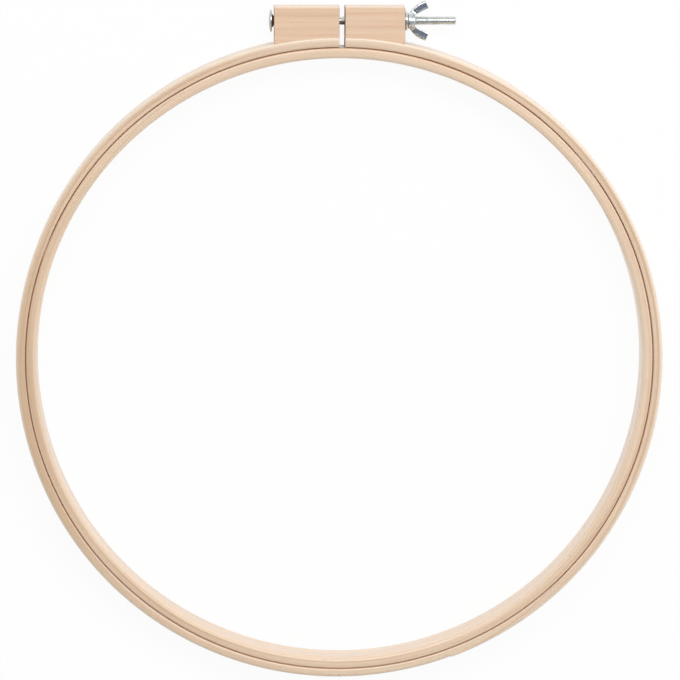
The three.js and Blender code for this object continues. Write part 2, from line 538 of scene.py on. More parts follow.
    def _streaked(self, sheet: NodeSheet, wood: Socket, colour: Socket) -> Socket:
        """Draws the long streaks of tan and of cream.

        Args:
            sheet: the material's nodes.
            wood: the place in the tree.
            colour: the colour so far.

        Returns:
            The colour with the streaks on it.
        """
        broad = sheet.noise(wood, self.broad_streak_waves, detail=2)
        narrow = sheet.noise(wood, self.narrow_streak_waves, detail=2)
        broad = sheet.math("MULTIPLY", broad, 1 - self.narrow_streak_share)
        share = sheet.math("MULTIPLY_ADD", narrow, self.narrow_streak_share, broad)
        colour = sheet.blend(sheet.span(share, *self.tan_share, 0, self.streaks), colour, self.tan)
        return sheet.blend(sheet.span(share, *self.cream_share, self.streaks, 0), colour, self.cream)

    def _growth(self, sheet: NodeSheet, wood: Socket) -> Socket:
        """Draws the growth lines: each year's wood darkens toward its late edge.

        Args:
            sheet: the material's nodes.
            wood: the place in the tree.

        Returns:
            How late the wood grew in its year, from 0 to 1.
        """
        uneven = sheet.noise(wood, self.growth_waves, detail=2)
        years = sheet.math("MULTIPLY_ADD", sheet.parts(wood)[1], 1 / self.growth_spacing, uneven)
        return sheet.ramp(sheet.math("FRACT", years), self.growth_line)

    def _marked(self, sheet: NodeSheet, grain: Socket, colour: Socket) -> Socket:
        """Adds what lies at one place on the strip: the pin knot, then browner stretches of wood, painted
        highlights on stretches and edges, and painted shade on edges by the groove between the rings.

        Args:
            sheet: the material's nodes.
            grain: the stored grain.
            colour: the colour so far.

        Returns:
            The colour with the marks on it.
        """
        marks = [self.blemish] if self.blemish else []
        for mark in (*marks, *self.toned_stretches, *self.toned_edges):
            colour = sheet.blend(mark.mask(sheet, grain), colour, mark.colour)
        return colour


@dataclass(frozen=True)
class ZincPlate:
    """Bright zinc plate with a bluish tint, over turned or forged steel."""

    name: str
    colour: Colour
    roughness: Span
    grit: float
    grit_size: float = 0.5 * MM
    mottle: float = 0.18
    mottle_size: float = 5.5 * MM
    mottle_share: Span = (0.35, 0.7)
    # How dark the forged skin is: partly its own colour and partly painted shade.
    skin_and_shade_share: float = 0.7
    forged_roughness: float = 0.5

    def material(self) -> bpy.types.Material:
        """Builds the material, which is rougher and darker where the mesh says that the steel was forged:
        the darker colour is partly the forging skin and partly painted shade for the dim reflection round
        the bolt's head.

        Returns:
            The material.
        """
        sheet = ShaderSheet(self.name)
        forged = sheet.stored("forged", "Fac")
        place = sheet.node("TexCoord", {}).outputs["Object"]
        clouds = sheet.noise(place, (1 / self.mottle_size,) * 3, detail=3)
        grains = sheet.noise(place, (1 / self.grit_size,) * 3, detail=2)
        dull = tuple((1 - self.mottle) * part for part in self.colour)
        # The forged skin's darker colour, partly its own and partly painted shade for the dim reflection
        # round the bolt's head.
        skin_and_shade = tuple(self.skin_and_shade_share * part for part in self.colour)
        plated = sheet.blend(sheet.span(clouds, *self.mottle_share), self.colour, dull)
        sheet.link(sheet.blend(forged, plated, skin_and_shade), "Base Color")
        smooth = sheet.span(clouds, *NOISE_RANGE, *self.roughness)
        rough = sheet.math("MULTIPLY", forged, self.forged_roughness)
        sheet.link(sheet.math("MAXIMUM", smooth, rough), "Roughness")
        sheet.set("Metallic", 1.0)
        sheet.bump((grains, self.grit))
        return sheet.material


def ripple(angles: np.ndarray, waves: int, shift: float = 0.0) -> np.ndarray:
    """Lists the heights of some even waves round a ring."""
    return np.sin(waves * angles + shift)


def quarter(points: int) -> np.ndarray:
    """Lists even angles over a quarter turn, both ends with it."""
    return np.linspace(0, QUARTER, points)


def shown_object(name: str, mesh: bpy.types.Mesh, sharp_angle: float = SHARP_ANGLE) -> bpy.types.Object:
    """Puts a mesh in the scene, smooth except at corners sharper than an angle.

    Args:
        name: the piece's name.
        mesh: its mesh.
        sharp_angle: the least angle of a corner that stays sharp.

    Returns:
        The object.
    """
    mesh.shade_smooth()
    mesh.set_sharp_from_angle(angle=sharp_angle)
    piece = bpy.data.objects.new(name, mesh)
    bpy.context.scene.collection.objects.link(piece)
    return piece


def dress(piece: bpy.types.Object, finish: Beech | ZincPlate) -> None:
    """Gives a piece its one material."""
    piece.data.materials.clear()
    piece.data.materials.append(finish.material())


def store_grain(mesh: bpy.types.Mesh, domain: str, grain: np.ndarray) -> None:
    """Stores the grain, which is a place along, across and up, on each point or each face's corners."""
    stored = mesh.attributes.new("grain", "FLOAT_VECTOR", domain)
    stored.data.foreach_set("vector", grain.astype(np.float32).ravel())


def mark_faces(mesh: bpy.types.Mesh, name: str, marks: list[float]) -> None:
    """Stores a number from 0 to 1 on each face, such as whether the wood is sawn across its fibres there."""
    stored = mesh.attributes.new(name, "FLOAT", "FACE")
    stored.data.foreach_set("value", np.array(marks, np.float32))


def mesh_of(name: str, points: np.ndarray, faces: list[tuple[int, ...]]) -> bpy.types.Mesh:
    """Makes a mesh from points and faces, with its doubled points merged and its faces pointing out.

    Args:
        name: the mesh's name.
        points: one row of three numbers for each point.
        faces: the points' numbers round each face.

    Returns:
        The mesh.
    """
    mesh = bpy.data.meshes.new(name)
    mesh.from_pydata([tuple(point) for point in points], [], faces)
    sheet = bmesh.new()
    sheet.from_mesh(mesh)
    bmesh.ops.remove_doubles(sheet, verts=sheet.verts, dist=SAME_PLACE)
    bmesh.ops.recalc_face_normals(sheet, faces=sheet.faces)
    sheet.to_mesh(mesh)
    sheet.free()
    return mesh


def with_modifiers(piece: bpy.types.Object) -> bpy.types.Mesh:
    """Returns a piece's mesh with its modifiers worked in."""
    evaluated = piece.evaluated_get(bpy.context.evaluated_depsgraph_get())
    return bpy.data.meshes.new_from_object(evaluated)


def cut_away(mesh: bpy.types.Mesh, cutters: list[bpy.types.Mesh]) -> bpy.types.Mesh:
    """Cuts closed meshes out of a closed mesh, and takes off the slivers that the cuts leave.

    Args:
        mesh: what is cut.
        cutters: what is taken away.

    Returns:
        The cut mesh.
    """
    body = shown_object("body_to_cut", mesh)
    tools = [shown_object("cutter", cutter) for cutter in cutters]
    for tool in tools:
        modifier = body.modifiers.new("cut", "BOOLEAN")
        modifier.object = tool
        modifier.solver = "EXACT"
    cut = with_modifiers(body)
    for spare in [body, *tools]:
        bpy.data.objects.remove(spare)
    sheet = bmesh.new()
    sheet.from_mesh(cut)
    bmesh.ops.dissolve_degenerate(sheet, dist=SLIVER, edges=sheet.edges)
    sheet.to_mesh(cut)
    sheet.free()
    return cut


@dataclass(frozen=True)
class Thread:
    """A right-hand metric thread."""

    radius: float
    pitch: float = 0.8 * MM
    depth_share: float = 0.5
    crest_flat: float = 1 / 8
    root_flat: float = 1 / 4
    soft_edge: float = 0.04
    run_out: float = 1.5

    def profile(self) -> list[tuple[float, float]]:
        """Lists the points of one pitch: a crest, a flank, a root and a flank.

        Returns:
            Each point's place, in pitches, and its radius.
        """
        depth = self.depth_share * self.pitch
        crest, root = self.radius, self.radius - depth
        edge = crest - self.soft_edge * depth
        root_start = (1 + self.crest_flat - self.root_flat) / 2
        return [
            (0.0, edge),
            (self.soft_edge, crest),
            (self.crest_flat - self.soft_edge, crest),
            (self.crest_flat, edge),
            (root_start, root),
            (root_start + self.root_flat, root),
        ]


class TurnedMesh:
    """A closed mesh built of loops of points round an axis parallel to X."""

    def __init__(self, axis: Vector, columns: int) -> None:
        """Starts a mesh.

        Args:
            axis: a point on the axis.
            columns: points round each loop.
        """
        self.axis = axis
        self.angles = TURN * np.arange(columns) / columns
        self.columns = columns
        self.points: list[tuple[float, float, float]] = []
        self.faces: list[tuple[int, ...]] = []
        self.loops: list[int] = []

    def _place(self, x: np.ndarray, radius: np.ndarray) -> None:
        """Adds one loop's points.

        Args:
            x: each point's place along the axis.
            radius: each point's distance from it.
        """
        self.loops.append(len(self.points))
        y = self.axis.y + radius * np.cos(self.angles)
        z = self.axis.z + radius * np.sin(self.angles)
        self.points.extend(zip(x.tolist(), y.tolist(), z.tolist()))

    def _join(self, first: int, second: int) -> None:
        """Joins two loops.

        Args:
            first: the number of one loop's first point.
            second: the number of the other loop's first point.
        """
        for column in range(self.columns):
            after = (column + 1) % self.columns
            self.faces.append((first + column, first + after, second + after, second + column))

    def loop(self, x: float, radius: float | np.ndarray) -> None:
        """Adds a loop and joins it to the last one.

        Args:
            x: its place along the axis.
            radius: its radius, or one for each column.
        """
        before = self.loops[-1] if self.loops else None
        self._place(np.full(self.columns, x), radius * np.ones(self.columns))
        if before is not None:
            self._join(before, self.loops[-1])

    def cap(self) -> None:
        """Closes the mesh at its newest loop."""
        self.faces.append(tuple(range(self.loops[-1], self.loops[-1] + self.columns)))

    def close_round(self) -> None:
        """Joins the newest loop to the first one, for a piece with a hole."""
        self._join(self.loops[-1], self.loops[0])

    def thread(
        self, thread: Thread, start: float, end: float, start_radius: float, end_radius: float
    ) -> None:
        """Winds a thread from a level loop to a level loop, and joins it to what comes before.

        Args:
            thread: its form.
            start: where it starts along the axis.
            end: where it ends.
            start_radius: the rod's radius where it starts.
            end_radius: the rod's radius where it ends.
        """
        self.loop(start, start_radius)
        turns = math.ceil((end - start) / thread.pitch) + 1
        profile = thread.profile()
        rows = []
        for turn in range(-1, turns + 1):
            for phase, radius in profile:
                wound = start + (turn + phase + self.angles / TURN) * thread.pitch
                grown = smooth_step((wound - start) / (thread.run_out * thread.pitch))
                shaped = start_radius + (radius - start_radius) * grown
                shaped = np.minimum(shaped, end_radius + np.maximum(end - wound, 0))
                shaped = np.where(wound <= start, start_radius, np.where(wound >= end, end_radius, shaped))
                self._place(np.clip(wound, start, end), shaped)
                rows.append(self.loops[-1])
        self._join_wound(rows, len(profile))

    def _join_wound(self, rows: list[int], per_turn: int) -> None:
        """Joins a thread's loops, each of which ends where the same one of the next turn starts.

        Args:
            rows: the number of each loop's first point.
            per_turn: how many loops make one turn.
        """
        last = self.columns - 1
        for number in range(len(rows) - 1):
            low, high = rows[number], rows[number + 1]
            for column in range(last):
                self.faces.append((low + column, low + column + 1, high + column + 1, high + column))
            low_on = rows[min(number + per_turn, len(rows) - 1)]
            high_on = rows[min(number + 1 + per_turn, len(rows) - 1)]
            self.faces.append((low + last, low_on, high_on, high + last))

    def mesh(self, name: str) -> bpy.types.Mesh:
        """Returns the finished mesh."""
        faces = [tuple(dict.fromkeys(face)) for face in self.faces]
        return mesh_of(name, np.array(self.points), [face for face in faces if len(face) > 2])


@dataclass
class BentStrip:
    """A beech strip bent round and glued to its own end, with its broad faces upright."""

    name: str
    axis: Vector
    inner_radius: float
    wall: float
    depth: float
    joint_angle: float
    joint_length: float = 85 * MM
    inside_edge_radius: float = 2.4 * MM
    outside_edge_radius: float = 1.2 * MM
    rim_waviness: float = 0.1 * MM
    broad_unevenness: float = 0.06
    fine_unevenness: float = 0.04
    steps: int = 720
    edge_steps: int = 6
    wall_steps: int = 8
    rim_steps: int = 3

    @property
    def middle_radius(self) -> float:
        """The radius of the middle of the wall."""
        return self.inner_radius + self.wall / 2

    @property
    def glued_joint(self) -> GluedJoint:
        """The strip's glued joint, for its finish."""
        return GluedJoint(self.joint_length, self.length_to(TURN), self.wall)

    def length_to(self, past_joint: float) -> float:
        """Turns an angle past the glued joint into a length along the strip."""
        return past_joint * self.middle_radius

    def angles(self) -> np.ndarray:
        """Lists the angles of the sections, rising from the joint."""
        return self.joint_angle + TURN * np.arange(self.steps) / self.steps

    def trims(self, angles: np.ndarray) -> dict[str, np.ndarray]:
        """Says how far each side of the section lies inside its nominal place.

        Args:
            angles: the sections' angles.

        Returns:
            A distance for each section, for the inner, outer, low and high side, each edge's radius, and
            how far the inner side leans out toward its upper edge.
        """
        none = np.zeros_like(angles)
        dip = 0.5 + 0.5 * ripple(angles, waves=3, shift=0.6) * ripple(angles, waves=2, shift=1.9 + QUARTER)
        broad = self.broad_unevenness * ripple(angles, waves=5, shift=0.4)
        softness = 1 + broad + self.fine_unevenness * ripple(angles, waves=11)
        return {
            "inner": none,
            "outer": none,
            "low": none,
            "high": self.rim_waviness * dip,
            "inner_edge": self.inside_edge_radius * softness,
            "outer_edge": self.outside_edge_radius * softness,
            "flare": none,
        }

    def sections(self, angles: np.ndarray) -> np.ndarray:
        """Works out the rounded section at each angle.

        Args:
            angles: the sections' angles.

        Returns:
            A radius and a height for each point of each section.
        """
        trim = self.trims(angles)
        inner = self.inner_radius + trim["inner"]
        outer = self.inner_radius + self.wall - trim["outer"]
        low, high = trim["low"], self.depth - trim["high"]
        corners = [
            (outer, low, trim["outer_edge"], -1, 1, -QUARTER),
            (outer, high, trim["outer_edge"], -1, -1, 0.0),
            (inner + trim["flare"], high, trim["inner_edge"], 1, -1, QUARTER),
            (inner, low, trim["inner_edge"], 1, 1, 2 * QUARTER),
        ]
        arcs = []
        for radius, height, edge, inward, upward, start in corners:
            turn = start + quarter(self.edge_steps + 1)
            across = (radius + inward * edge)[:, None] + edge[:, None] * np.cos(turn)
            up = (height + upward * edge)[:, None] + edge[:, None] * np.sin(turn)
            arcs.append(np.stack([across, up], axis=2))
        sides = [self.wall_steps, self.rim_steps, self.wall_steps, self.rim_steps]
        pieces = []
        for number, count in enumerate(sides):
            here, following = arcs[number], arcs[(number + 1) % len(arcs)]
            share = (np.arange(1, count) / count)[None, :, None]
            pieces += [here, here[:, -1:] * (1 - share) + following[:, :1] * share]
        return np.concatenate(pieces, axis=1)

    def build(self) -> bpy.types.Object:
        """Builds the strip.

        Returns:
            The piece, with its grain stored on it.
        """
        angles = self.angles()
        sections = self.sections(angles)
        radius, height = sections[..., 0], sections[..., 1]
        rows, columns = radius.shape
        flat = [radius * np.cos(angles)[:, None], radius * np.sin(angles)[:, None]]
        points = np.stack([*flat, height], axis=2).reshape(-1, 3) + np.array(self.axis)
        faces, row = self._faces(rows, columns)
        end_faces = [np.arange(columns), (rows - 1) * columns + np.arange(columns)[::-1]]
        caps = [] if self.is_closed() else end_faces
        mesh = bpy.data.meshes.new(self.name)
        mesh.from_pydata(points.tolist(), [], faces.tolist() + [cap.tolist() for cap in caps])
        corner = np.concatenate([faces.ravel(), *caps])
        across, up = radius.ravel()[corner] - self.inner_radius, height.ravel()[corner]
        store_grain(mesh, "CORNER", np.stack([self._along(angles, row, columns), across, up], axis=1))
        mark_faces(mesh, "sawn", [0.0] * len(faces) + [1.0] * len(caps))
        return shown_object(self.name, mesh)

    def _faces(self, rows: int, columns: int) -> tuple[np.ndarray, np.ndarray]:
        """Lists the four-sided faces between the sections.

        Args:
            rows: how many sections there are.
            columns: points round a section.

        Returns:
            The points' numbers round each face, and the section that each face starts at.
        """
        starts = np.arange(rows if self.is_closed() else rows - 1)
        row, column = np.repeat(starts, columns), np.tile(np.arange(columns), len(starts))
        after_row, after_column = (row + 1) % rows, (column + 1) % columns
        round_face = [(row, column), (after_row, column), (after_row, after_column), (row, after_column)]
        return np.stack([place * columns + turn for place, turn in round_face], axis=1), row

    def _along(self, angles: np.ndarray, row: np.ndarray, columns: int) -> np.ndarray:
        """Works out how far along the strip each face's corners lie, from the glued joint on.

        Args:
            angles: the sections' angles.
            row: the section that each four-sided face starts at.
            columns: points round a section.

        Returns:
            One length for each corner, with those of the two ends last.
        """
        turned = np.append(angles, angles[0] + TURN)
        along = np.stack([turned[row], turned[row + 1], turned[row + 1], turned[row]], axis=1)
        before_joint = (along.mean(axis=1) < self.joint_angle)[:, None]
        along = (along + TURN * before_joint).ravel()
        ends = [] if self.is_closed() else [angles[0] + TURN, angles[-1]]
        along = np.concatenate([along, *(np.full(columns, end) for end in ends)])
        return (along - self.joint_angle) * self.middle_radius

    def is_closed(self) -> bool:
        """Says whether the strip runs all the way round."""
        return True


@dataclass
class InnerRing(BentStrip):
    """The closed ring that the cloth is stretched over."""

    def place(self, finish: Beech) -> bpy.types.Object:
        """Builds the ring, dresses it and lets it ride.

        Args:
            finish: its wood.

        Returns:
            The piece.
        """
        ring = self.build()
        dress(ring, finish)
        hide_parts("inner_ring")
        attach(ring, "inner_ring")
        return ring


@dataclass(kw_only=True)
class OuterRing(BentStrip):
    """The ring round the outside, split under the clamp, with a lap at its glued joint thinned with
    sandpaper.
    """

    split_left: float
    split_right: float
    end_radius: float = 0.35 * MM
    lap_step: float = 0.36 * MM
    lap_trim: float = 0.4 * MM
    lap_trim_left: float = math.radians(75)
    lap_trim_right: float = math.radians(40)
    lap_edge_radius: float = 1.1 * MM
    clamp_edge_radius: float = 1.02 * MM
    clamp_reach: float = 36 * MM
    least_flare: float = 0.1 * MM
    flare_swing: float = 0.14 * MM
    widest_flare: float = math.radians(50)
    end_fade: float = 0.5
    end_steps: int = 5
    bottom_steps: int = 9
    joint_hair: float = 0.01 * MM
    bend_margin: float = 0.1 * MM

    def is_closed(self) -> bool:
        """The split keeps the ring open."""
        return False

    def _ends(self) -> tuple[float, float]:
        """Works out where the split's faces are.

        Returns:
            The angles of its left and its right face, the long way round.
        """
        left = math.acos(self.split_left / self.middle_radius)
        right = TURN + math.acos(self.split_right / self.middle_radius)
        return left, right

    def angles(self) -> np.ndarray:
        """Lists the angles of the sections, closer at the ends, the joint and the bottom.

        Returns:
            The angles, rising.
        """
        left, right = self._ends()
        rounding = self.end_radius / self.middle_radius
        soft = rounding * (1 - np.cos(quarter(self.end_steps)))
        even = np.linspace(left + 2 * rounding, right - 2 * rounding, self.steps)
        bend = np.linspace(self.split_left, self.split_right, self.bottom_steps) / self.middle_radius
        hair = self.joint_hair / self.middle_radius
        joint = [self.joint_angle - hair, self.joint_angle + hair]
        return np.unique(np.concatenate([left + soft, right - soft, even, BOTTOM + bend, joint]))

    def trims(self, angles: np.ndarray) -> dict[str, np.ndarray]:
        """Adds the softened ends, the lap thinned with sandpaper and the worn inner edge to the plain strip.

        Args:
            angles: the sections' angles.

        Returns:
            The trims, as the plain strip gives them.
        """
        trim = super().trims(angles)
        left, right = self._ends()
        near_end = np.minimum(angles - left, right - angles) * self.middle_radius
        inside = np.clip(self.end_radius - near_end, 0, self.end_radius)
        inset = self.end_radius - np.sqrt(self.end_radius**2 - inside**2)
        past = angles - self.joint_angle
        right_share = 1 - smooth_step(past / self.lap_trim_right)
        left_share = 1 - smooth_step(-past / self.lap_trim_left)
        on_right = past > 0
        lap = np.where(on_right, self.lap_trim * right_share, (self.lap_trim + self.lap_step) * left_share)
        for side, extra in (("inner", 0), ("outer", lap), ("low", 0), ("high", 0)):
            trim[side] = trim[side] + extra + inset
        sharpened = (self.outside_edge_radius - self.lap_edge_radius) * right_share * on_right
        at_clamp = 1 - smooth_step((near_end - self.clamp_reach) / self.clamp_reach)
        worn = (trim["outer_edge"] - sharpened) * (1 - at_clamp) + self.clamp_edge_radius * at_clamp
        trim["outer_edge"] = worn - self.end_fade * inset
        trim["inner_edge"] = trim["inner_edge"] - self.end_fade * inset
        nearness = 0.5 + 0.5 * np.cos(angles - self.widest_flare)
        trim["flare"] = self.least_flare + self.flare_swing * nearness**2
        return trim

    def place(self, finish: Beech) -> bpy.types.Object:
        """Builds the ring, dresses it and works its place into its mesh.

        Args:
            finish: its wood.

        Returns:
            The piece.
        """
        ring = self.build()
        dress(ring, finish)
        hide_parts("outer_ring_left_half", "outer_ring_right_half")
        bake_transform(ring)
        return ring


@dataclass
class ClampBlock:
    """A beech block glued on the outer ring beside the split, with a bore for the bolt."""

    side: Side
    low: Vector
    high: Vector
    ring_axis: Vector
    ring_radius: float
    bolt_axis: Vector
    bore_radius: float
    head_seat: float
    edge_radius: float = 0.45 * MM
    bore_break: float = 0.35 * MM
    glue_gap: float = 0.03 * MM
    neck_pocket: float = 5.1 * MM
    neck_depth: float = 2.9 * MM
    saddle_past_ends: float = 3 * MM
    saddle_past_foot: float = 6 * MM
    saddle_past_faces: float = 5 * MM
    bore_past_ends: float = 1 * MM
    sawn_slope: float = 0.7
    edge_steps: int = 5
    saddle_steps: int = 61
    bore_columns: int = 64

    def build(self) -> bpy.types.Object:
        """Builds the block with its saddle, its bore and, on the left, the square pocket of the bolt's neck.

        Returns:
            The piece, with its grain stored on it.
        """
        name = f"{self.side.name.lower()}_block"
        cutters = [self._saddle(), self._bore()]
        if self.side is Side.LEFT:
            cutters.append(self._pocket())
        mesh = cut_away(self._rounded_box(name), cutters)
        block = shown_object(name, mesh)
        block.modifiers.new("even shading", "WEIGHTED_NORMAL").keep_sharp = True
        block.data = with_modifiers(block)
        block.modifiers.clear()
        store_grain(block.data, "POINT", np.array([tuple(point.co) for point in block.data.vertices]))
        sawn = [float(abs(face.normal.x) > self.sawn_slope) for face in block.data.polygons]
        mark_faces(block.data, "sawn", sawn)
        return block

    def _rounded_box(self, name: str) -> bpy.types.Mesh:
        """Makes the block before it is cut, down past the ring's outside.

        Args:
            name: the mesh's name.

        Returns:
            The uncut block.
        """
        sheet = bmesh.new()
        bmesh.ops.create_cube(sheet, size=1.0)
        size, middle = self.high - self.low, (self.high + self.low) / 2
        for point in sheet.verts:
            point.co = Vector(part * extent for part, extent in zip(point.co, size)) + middle
        rounding = {"offset": self.edge_radius, "segments": self.edge_steps, "profile": 0.5}
        bmesh.ops.bevel(sheet, geom=sheet.edges[:], affect="EDGES", **rounding)
        mesh = bpy.data.meshes.new(name)
        sheet.to_mesh(mesh)
        sheet.free()
        return mesh

    def _saddle(self) -> bpy.types.Mesh:
        """Makes the ring's outside as a cutter, an upright drum near the clamp.

        Returns:
            The cutter.
        """
        reach = max(abs(self.low.x), abs(self.high.x)) + self.saddle_past_ends
        radius = self.ring_radius + self.glue_gap
        half_turn = math.asin(reach / radius)
        turns = QUARTER + np.linspace(-half_turn, half_turn, self.saddle_steps)
        arc = [(radius * math.cos(turn), self.ring_axis.y + radius * math.sin(turn)) for turn in turns]
        foot = self.low.y - self.saddle_past_foot
        outline = [*arc, (-reach, foot), (reach, foot)]
        count = len(outline)
        levels = (self.low.z - self.saddle_past_faces, self.high.z + self.saddle_past_faces)
        points = [(x, y, z) for z in levels for x, y in outline]
        sides = [(corner, (corner + 1) % count) for corner in range(count)]
        walls = [(here, after, count + after, count + here) for here, after in sides]
        faces = [*walls, tuple(range(count)), tuple(range(count, 2 * count))]
        return mesh_of("saddle", np.array(points), faces)

    def _bore(self) -> bpy.types.Mesh:
        """Makes the bore with slightly broken mouths as a cutter.

        Returns:
            The cutter.
        """
        bore = TurnedMesh(self.bolt_axis, self.bore_columns)
        past = self.bore_past_ends
        wide = self.bore_radius + self.bore_break
        bore.loop(self.low.x - past, wide + past)
        bore.cap()
        bore.loop(self.low.x + self.bore_break, self.bore_radius)
        bore.loop(self.high.x - self.bore_break, self.bore_radius)
        bore.loop(self.high.x + past, wide + past)
        bore.cap()
        return bore.mesh("bore")

    def _pocket(self) -> bpy.types.Mesh:
        """Makes the square pocket that the bolt's neck was drawn into as a cutter.

        Returns:
            The cutter.
        """
        half, axis = self.neck_pocket / 2, self.bolt_axis
        ends = (self.head_seat - self.bore_past_ends, self.head_seat + self.neck_depth)
        corners = [(x, axis.y + y, axis.z + z) for x in ends for y in (-half, half) for z in (-half, half)]
        walls = [(0, 1, 3, 2), (4, 6, 7, 5), (0, 4, 5, 1), (2, 3, 7, 6), (0, 2, 6, 4), (1, 5, 7, 3)]
        return mesh_of("pocket", np.array(corners), walls)

    def place(self, finish: Beech) -> bpy.types.Object:
        """Builds the block, dresses it and lets it ride on its half of the ring.

        Args:
            finish: its wood.

        Returns:
            The piece.
        """
        block = self.build()
        dress(block, finish)
        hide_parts(f"{self.side.name.lower()}_clamp_block")
        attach(block, f"{self.side.name.lower()}_half")
        return block


@dataclass
class ClampBolt:
    """A carriage bolt: a domed head, a square neck, a plain shank and a rolled thread."""

    axis: Vector
    start: float
    end: float
    head_radius: float = 6.25 * MM
    dome_height: float = 0.8 * MM
    rim_height: float = 0.9 * MM
    rim_round: float = 0.35 * MM
    collar_height: float = 0.9 * MM
    collar_radius: float = 4.2 * MM
    neck_side: float = 4.9 * MM
    neck_length: float = 2.6 * MM
    shank_radius: float = 2.25 * MM
    thread_length: float = 40 * MM
    tip_radius: float = 2.0 * MM
    thread: Thread = Thread(radius=2.5 * MM)
    under_rim_share: float = 0.5
    collar_step: float = 0.04 * MM
    collar_rim: float = 0.2 * MM
    collar_taper: float = 1.1 * MM
    neck_corner_share: float = 0.94
    neck_foot_width: float = 0.1 * MM
    neck_foot_length: float = 0.15 * MM
    neck_end_width: float = 0.25 * MM
    neck_end_length: float = 0.3 * MM
    shank_step: float = 0.1 * MM
    thread_lead: float = 0.5 * MM
    tip_share: float = 0.9
    sharp_angle: float = math.radians(50)
    columns: int = 64
    dome_steps: int = 10
    round_steps: int = 5
    under_rim_steps: int = 4

    @property
    def head_length(self) -> float:
        """The head's length along the bolt."""
        return self.dome_height + self.rim_height + self.collar_height

    @property
    def head_seat(self) -> float:
        """Where the head sits on the left block along X."""
        return self.start + self.head_length

    @property
    def thread_start(self) -> float:
        """Where the thread starts along X."""
        return self.end - self.thread_length

    def build(self) -> bpy.types.Object:
        """Builds the bolt from its dome to its tip.

        Returns:
            The piece.
        """
        bolt = TurnedMesh(self.axis, self.columns)
        self._head(bolt)
        self._neck(bolt)
        bolt.loop(self.thread_start - self.thread_lead, self.shank_radius)
        bolt.thread(self.thread, self.thread_start, self.end, self.shank_radius, self.tip_radius)
        bolt.loop(self.end, self.tip_share * self.tip_radius)
        bolt.cap()
        mesh = bolt.mesh("carriage_bolt")
        # The dome is marked forged: rougher, and darker partly as painted shade.
        dome_end = self.start + self.dome_height + self.rim_height / 2
        mark_faces(mesh, "forged", [float(face.center.x < dome_end) for face in mesh.polygons])
        return shown_object("carriage_bolt", mesh, self.sharp_angle)

    def _head(self, bolt: TurnedMesh) -> None:
        """Adds the domed head, its rounded rim and the slope under it.

        Args:
            bolt: what it is added to.
        """
        edge = self.rim_round
        crown = self.head_radius - edge
        dome_radius = (crown**2 + self.dome_height**2) / (2 * self.dome_height)
        half_angle = math.asin(crown / dome_radius)
        for step in range(1, self.dome_steps + 1):
            turn = half_angle * step / self.dome_steps
            bolt.loop(self.start + dome_radius * (1 - math.cos(turn)), dome_radius * math.sin(turn))
            if step == 1:
                bolt.cap()
        rim = self.start + self.dome_height
        for turn in np.linspace(half_angle, QUARTER, self.round_steps)[1:]:
            bolt.loop(rim + edge * (1 - math.cos(turn)), crown + edge * math.sin(turn))
        under, small = rim + self.rim_height, self.under_rim_share * edge
        for turn in quarter(self.under_rim_steps):
            bolt.loop(under - small * (1 - math.sin(turn)), self.head_radius - small * (1 - math.cos(turn)))
        collar, slope = under + self.collar_step, self.collar_height - self.collar_step
        for turn in quarter(self.round_steps):
            radius = self.collar_radius + self.collar_rim - self.collar_taper * math.sin(turn)
            bolt.loop(collar + slope * (1 - math.cos(turn)), radius)

    def _neck(self, bolt: TurnedMesh) -> None:
        """Adds the square neck with its rounded corners, and the step down to the shank.

        Args:
            bolt: what it is added to.
        """
        square = self.neck_side / 2 / np.maximum(np.abs(np.cos(bolt.angles)), np.abs(np.sin(bolt.angles)))
        square = np.minimum(square, self.neck_corner_share * self.neck_side / math.sqrt(2))
        seat = self.head_seat
        neck_end = seat + self.neck_length
        bolt.loop(seat, square + self.neck_foot_width)
        bolt.loop(seat + self.neck_foot_length, square)
        bolt.loop(neck_end - self.neck_end_length, square)
        bolt.loop(neck_end, square - self.neck_end_width)
        bolt.loop(neck_end + self.shank_step, self.shank_radius)

    def place(self, finish: ZincPlate) -> bpy.types.Object:
        """Builds the bolt, dresses it and lets it ride with the left block.

        Args:
            finish: its plating.

        Returns:
            The piece.
        """
        bolt = self.build()
        dress(bolt, finish)
        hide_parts("clamp_bolt")
        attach(bolt, "left_half")
        return bolt


@dataclass
class Washer:
    """A stamped plain washer, rounded where the punch went in."""

    axis: Vector
    low: Vector
    high: Vector
    hole_radius: float = 2.75 * MM
    punched_edge: float = 0.3 * MM
    burr_edge: float = 0.08 * MM
    edge_steps: int = 5
    columns: int = 96

    def build(self) -> bpy.types.Object:
        """Builds the washer.

        Returns:
            The piece.
        """
        washer = TurnedMesh(self.axis, self.columns)
        for place, radius in self._face(self.low.x, 1, self.burr_edge):
            washer.loop(place, radius)
        for place, radius in reversed(self._face(self.high.x, -1, self.punched_edge)):
            washer.loop(place, radius)
        washer.close_round()
        return shown_object("plain_washer", washer.mesh("plain_washer"))

    def _face(self, face: float, inward: int, edge: float) -> list[tuple[float, float]]:
        """Lists the outline of one face, from the hole outward.

        Args:
            face: where the face is along the bolt.
            inward: 1 where the washer lies past it, else -1.
            edge: the radius of its rounded edge.

        Returns:
            Places along the bolt and radii.
        """
        radius = (self.high.z - self.low.z) / 2
        mouth = [(face + inward * edge, self.hole_radius), (face, self.hole_radius + edge)]
        return mouth + [
            (face + inward * edge * (1 - math.cos(turn)), radius - edge * (1 - math.sin(turn)))
            for turn in quarter(self.edge_steps)
        ]

    def place(self, finish: ZincPlate) -> bpy.types.Object:
        """Builds the washer, dresses it and lets it ride.

        Args:
            finish: its plating.

        Returns:
            The piece.
        """
        washer = self.build()
        dress(washer, finish)
        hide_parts("washer")
        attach(washer, "washer")
        return washer


